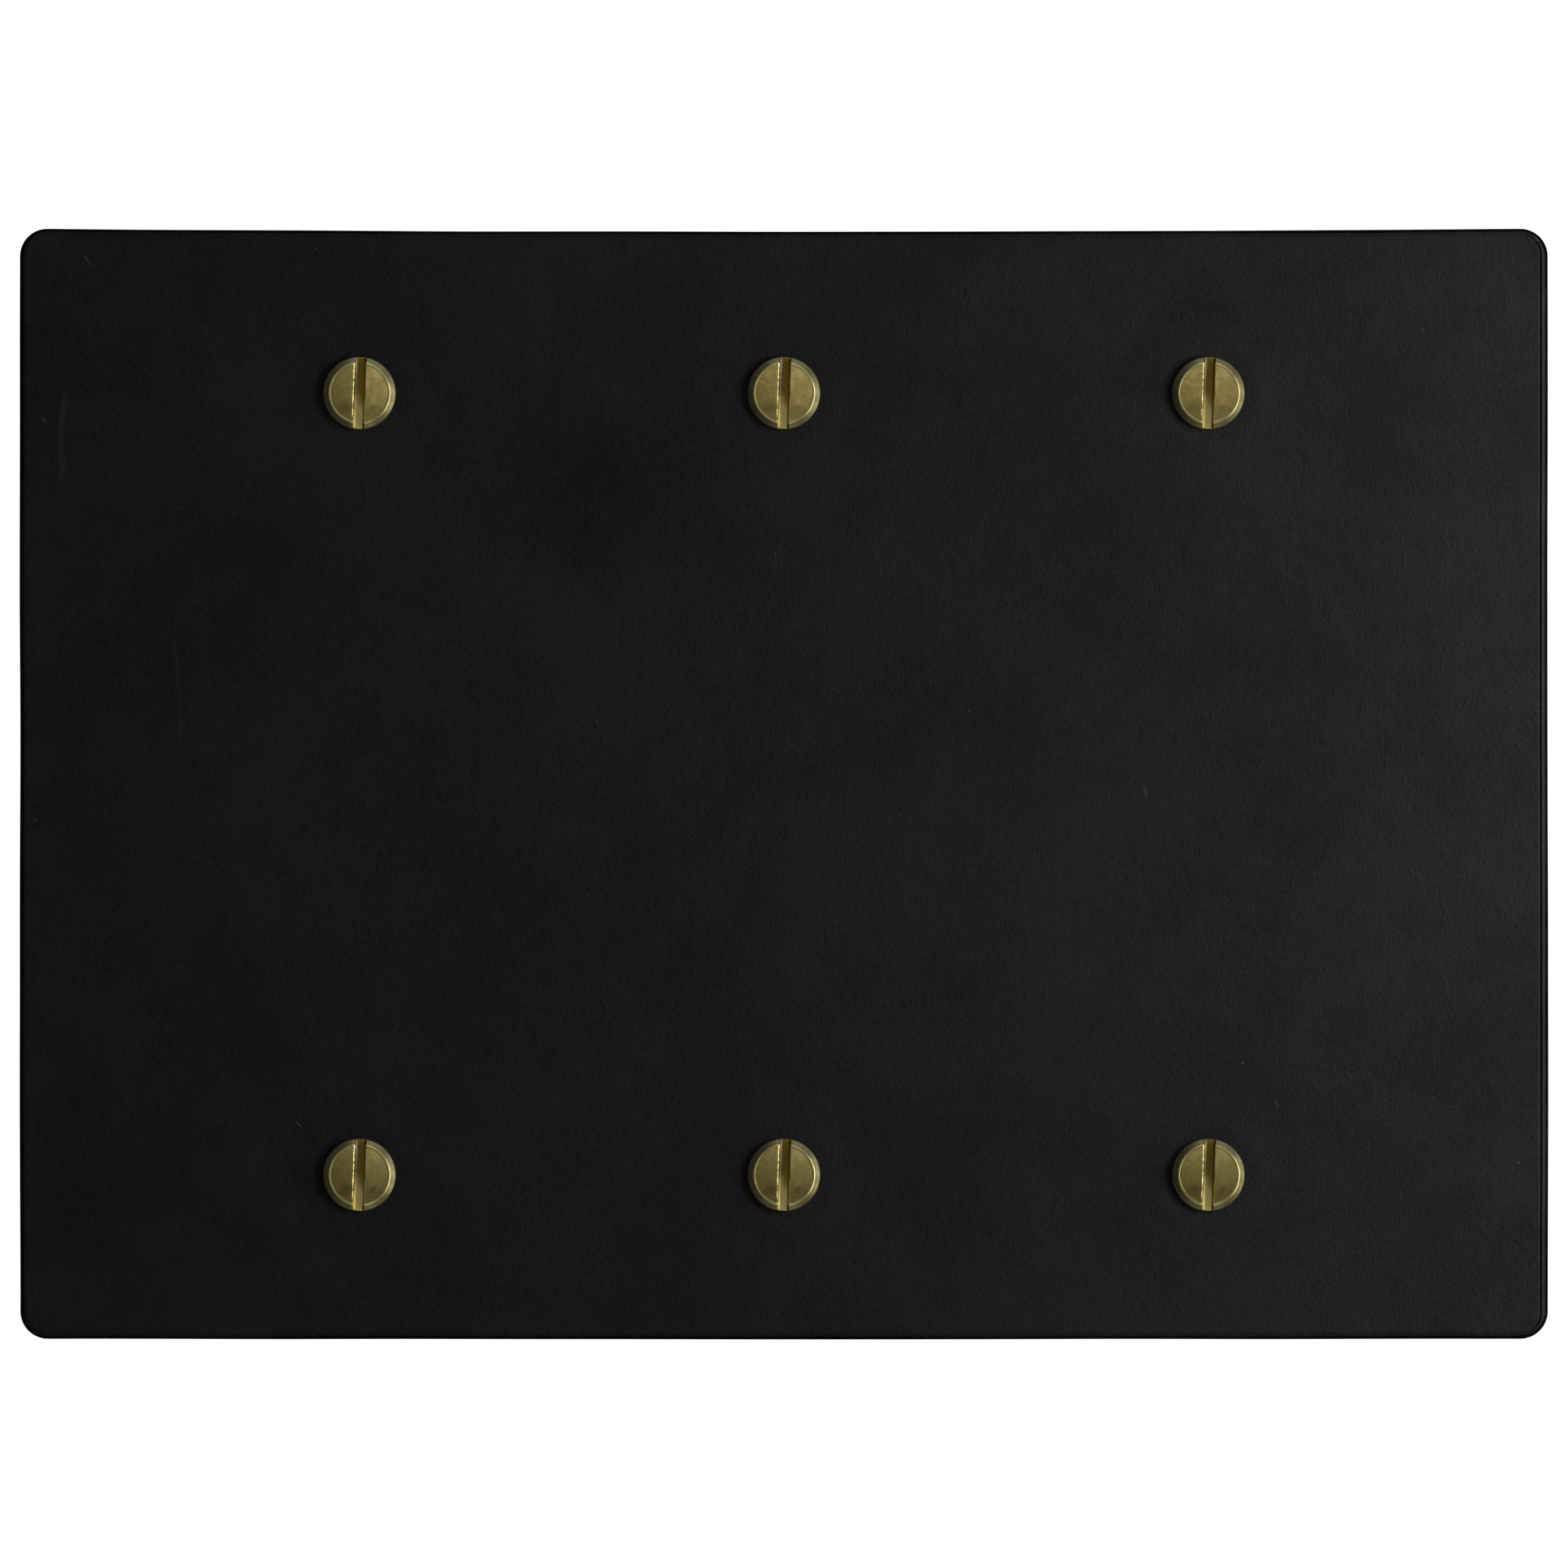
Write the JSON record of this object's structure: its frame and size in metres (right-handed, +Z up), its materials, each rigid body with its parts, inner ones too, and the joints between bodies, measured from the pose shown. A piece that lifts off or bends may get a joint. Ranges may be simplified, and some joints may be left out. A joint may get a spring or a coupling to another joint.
{
  "type": "desk mat",
  "caption": "Rectangular two-layer black leather desk mat with rounded corners, clamped together by slotted brass binding screws in two rows.",
  "frame": {"origin": "centre of the underside, in the plane that rests on the desk", "axes": "+X along the long side, to the user's right; +Y towards the far long edge; +Z up, out of the leather's top face"},
  "size_m": [0.55, 0.4, 0.0105],
  "materials": {
    "top_leather": "smooth full grain, satin",
    "base_leather": "suede flesh side, matt",
    "felt": "pressed wool felt, matt",
    "screw_brass": "turned, lightly tarnished, satin",
    "post_brass": "turned, satin",
    "washer_fibre": "vulcanised fibre, matt"
  },
  "bodies": {
    "mat": {"base_leather": "base_leather", "top_leather": "top_leather", "felt_disc_front_left": "felt", "post_front_left": "post_brass", "felt_disc_front_middle": "felt", "post_front_middle": "post_brass", "felt_disc_front_right": "felt", "post_front_right": "post_brass", "felt_disc_back_left": "felt", "post_back_left": "post_brass", "felt_disc_back_middle": "felt", "post_back_middle": "post_brass", "felt_disc_back_right": "felt", "post_back_right": "post_brass"},
    "front_left_washer": {"washer_front_left": "washer_fibre"},
    "front_left_screw": {"screw_front_left": "screw_brass"},
    "front_middle_washer": {"washer_front_middle": "washer_fibre"},
    "front_middle_screw": {"screw_front_middle": "screw_brass"},
    "front_right_washer": {"washer_front_right": "washer_fibre"},
    "front_right_screw": {"screw_front_right": "screw_brass"},
    "back_left_washer": {"washer_back_left": "washer_fibre"},
    "back_left_screw": {"screw_back_left": "screw_brass"},
    "back_middle_washer": {"washer_back_middle": "washer_fibre"},
    "back_middle_screw": {"screw_back_middle": "screw_brass"},
    "back_right_washer": {"washer_back_right": "washer_fibre"},
    "back_right_screw": {"screw_back_right": "screw_brass"}
  },
  "joints": [
    {"name": "front_left_turn", "type": "hinge", "parent": "front_left_washer", "child": "front_left_screw", "pos_m": [-0.1525, -0.1404, 0.006], "axis": [0, 0, 1], "range_deg": [0, 1350]},
    {"name": "front_left_lift", "type": "slide", "parent": "mat", "child": "front_left_washer", "axis": [0, 0, 1], "range_m": [0, 0.0038]},
    {"name": "front_middle_turn", "type": "hinge", "parent": "front_middle_washer", "child": "front_middle_screw", "pos_m": [0, -0.1404, 0.006], "axis": [0, 0, 1], "range_deg": [0, 1350]},
    {"name": "front_middle_lift", "type": "slide", "parent": "mat", "child": "front_middle_washer", "axis": [0, 0, 1], "range_m": [0, 0.0038]},
    {"name": "front_right_turn", "type": "hinge", "parent": "front_right_washer", "child": "front_right_screw", "pos_m": [0.1525, -0.1404, 0.006], "axis": [0, 0, 1], "range_deg": [0, 1350]},
    {"name": "front_right_lift", "type": "slide", "parent": "mat", "child": "front_right_washer", "axis": [0, 0, 1], "range_m": [0, 0.0038]},
    {"name": "back_left_turn", "type": "hinge", "parent": "back_left_washer", "child": "back_left_screw", "pos_m": [-0.1525, 0.1404, 0.006], "axis": [0, 0, 1], "range_deg": [0, 1350]},
    {"name": "back_left_lift", "type": "slide", "parent": "mat", "child": "back_left_washer", "axis": [0, 0, 1], "range_m": [0, 0.0038]},
    {"name": "back_middle_turn", "type": "hinge", "parent": "back_middle_washer", "child": "back_middle_screw", "pos_m": [0, 0.1404, 0.006], "axis": [0, 0, 1], "range_deg": [0, 1350]},
    {"name": "back_middle_lift", "type": "slide", "parent": "mat", "child": "back_middle_washer", "axis": [0, 0, 1], "range_m": [0, 0.0038]},
    {"name": "back_right_turn", "type": "hinge", "parent": "back_right_washer", "child": "back_right_screw", "pos_m": [0.1525, 0.1404, 0.006], "axis": [0, 0, 1], "range_deg": [0, 1350]},
    {"name": "back_right_lift", "type": "slide", "parent": "mat", "child": "back_right_washer", "axis": [0, 0, 1], "range_m": [0, 0.0038]}
  ],
  "couplings": [
    {"joint": "front_left_lift", "follows": "front_left_turn", "m_per_rad": 0.00015915},
    {"joint": "front_middle_lift", "follows": "front_middle_turn", "m_per_rad": 0.00015915},
    {"joint": "front_right_lift", "follows": "front_right_turn", "m_per_rad": 0.00015915},
    {"joint": "back_left_lift", "follows": "back_left_turn", "m_per_rad": 0.00015915},
    {"joint": "back_middle_lift", "follows": "back_middle_turn", "m_per_rad": 0.00015915},
    {"joint": "back_right_lift", "follows": "back_right_turn", "m_per_rad": 0.00015915}
  ]
}
